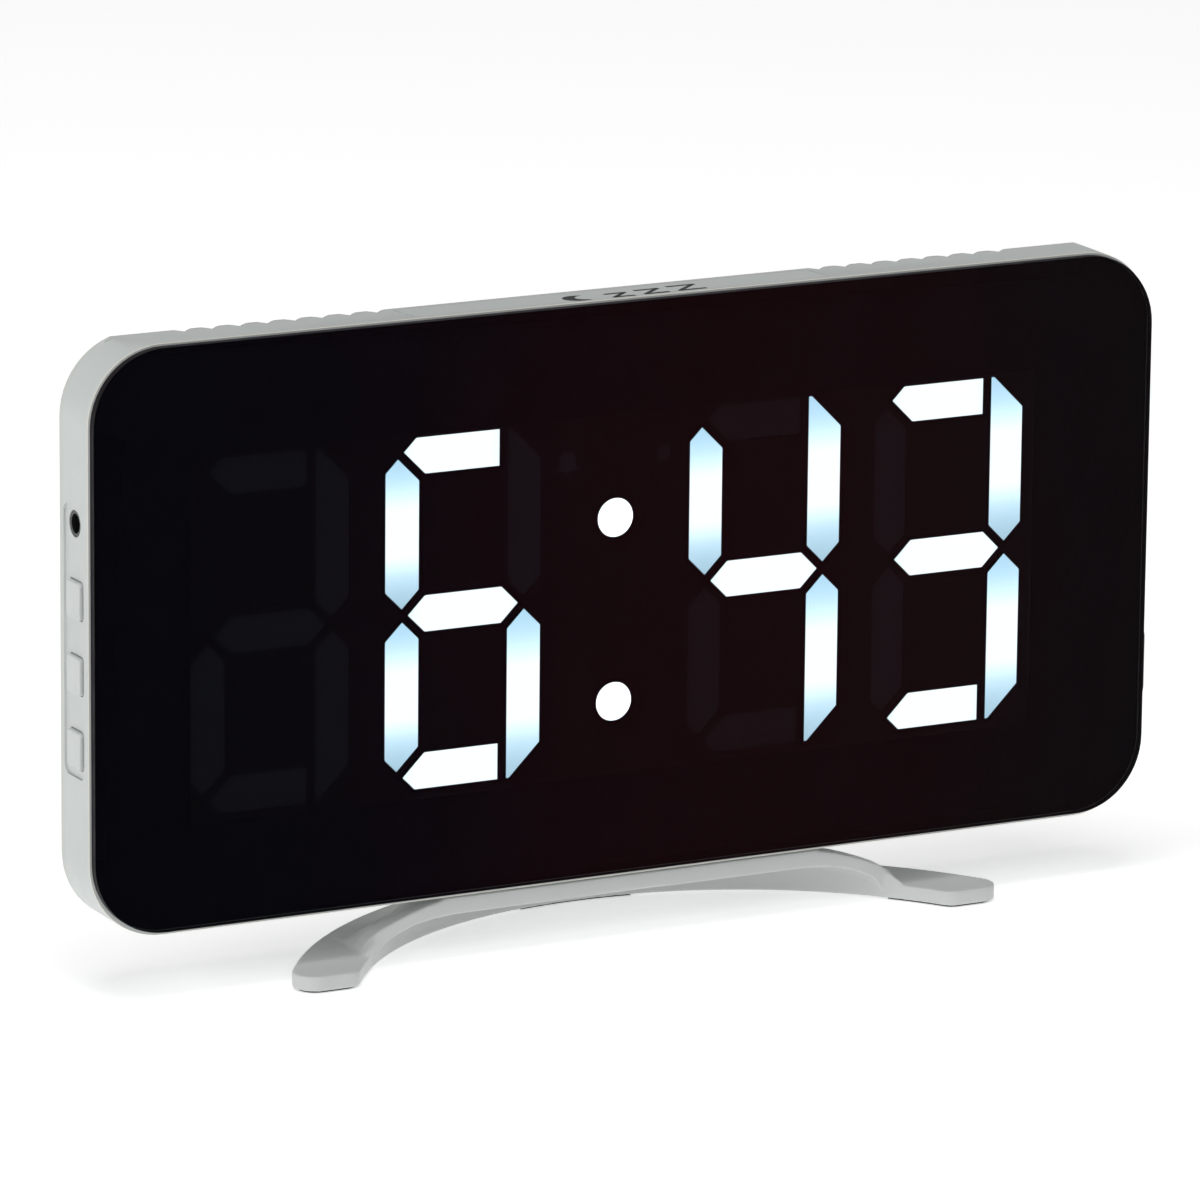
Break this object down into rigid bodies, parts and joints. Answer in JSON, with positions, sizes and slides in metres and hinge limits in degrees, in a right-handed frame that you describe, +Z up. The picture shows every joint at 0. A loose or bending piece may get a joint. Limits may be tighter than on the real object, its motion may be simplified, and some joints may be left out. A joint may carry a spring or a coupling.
{
  "type": "led alarm clock",
  "caption": "Flat mirror-faced LED alarm clock with side buttons, a top snooze bar and a low crescent stand under it.",
  "frame": {"origin": "on the table, below the middle of the clock's bounding box", "axes": "+X along the display to the viewer's right, +Y from the mirror face to the back, +Z up"},
  "size_m": [0.1587, 0.0333, 0.0871],
  "materials": {
    "mirror_acrylic": "half-mirrored dark acrylic, polished",
    "black_tape": "foam tape, matt",
    "housing_plastic": "white ABS, fine satin",
    "cover_plastic": "white ABS, fine satin",
    "screw_steel": "zinc plated",
    "cell_steel": "bright nickel plate",
    "contact_brass": "plated spring strip",
    "board_green": "solder mask",
    "white_plastic": "white, matt",
    "black_film": "printed film",
    "light_guide": "frosted, translucent",
    "led_yellow": "phosphor",
    "chip_black": "moulded, matt",
    "capacitor_tan": "moulded",
    "plunger_plastic": "moulded",
    "socket_black": "moulded, slight shine",
    "stand_plastic": "grey-white ABS, fine satin",
    "pad_rubber": "soft pad"
  },
  "bodies": {
    "clock": {"mirror_panel": "mirror_acrylic", "panel_tape": "black_tape", "front_housing": "housing_plastic", "rear_cover": "cover_plastic", "case_screws": "screw_steel", "coin_cell": "cell_steel", "cell_contact_plus": "contact_brass", "cell_contact_minus": "contact_brass", "main_board": "board_green", "board_screws": "screw_steel", "light_box": "white_plastic", "segment_film": "black_film", "digit_1": "light_guide", "digit_2": "light_guide", "digit_3": "light_guide", "digit_4": "light_guide", "colon_dots": "light_guide", "indicator_marks": "light_guide", "led_chips": "led_yellow", "clock_chip": "chip_black", "driver_chip": "chip_black", "crystal": "screw_steel", "capacitors": "capacitor_tan", "buzzer": "chip_black", "side_switches": "chip_black", "snooze_switch": "chip_black", "power_jack": "socket_black", "power_jack_pin": "contact_brass", "usb_shell": "screw_steel", "usb_tongue": "socket_black", "usb_bezel": "socket_black", "stand": "stand_plastic", "stand_screws": "screw_steel", "foot_pads": "pad_rubber"},
    "mode_key": {"mode_button": "housing_plastic", "mode_plunger": "plunger_plastic"},
    "up_key": {"up_button": "housing_plastic", "up_plunger": "plunger_plastic"},
    "down_key": {"down_button": "housing_plastic", "down_plunger": "plunger_plastic"},
    "snooze_key": {"snooze_bar": "housing_plastic", "snooze_plunger": "plunger_plastic"},
    "cell_door": {"battery_door": "cover_plastic"}
  },
  "joints": [
    {"name": "mode_press", "type": "slide", "parent": "clock", "child": "mode_key", "axis": [1, 0, 0], "range_m": [0, 0.0004], "stiffness_N_per_m": 600, "springref_m": -0.0005},
    {"name": "up_press", "type": "slide", "parent": "clock", "child": "up_key", "axis": [1, 0, 0], "range_m": [0, 0.0004], "stiffness_N_per_m": 600, "springref_m": -0.0005},
    {"name": "down_press", "type": "slide", "parent": "clock", "child": "down_key", "axis": [1, 0, 0], "range_m": [0, 0.0004], "stiffness_N_per_m": 600, "springref_m": -0.0005},
    {"name": "snooze_press", "type": "slide", "parent": "clock", "child": "snooze_key", "axis": [0, 0, -1], "range_m": [0, 0.0005], "stiffness_N_per_m": 600, "springref_m": -0.0005},
    {"name": "cell_door_pull", "type": "slide", "parent": "clock", "child": "cell_door", "axis": [0, 1, 0], "range_m": [0, 0.015]}
  ]
}
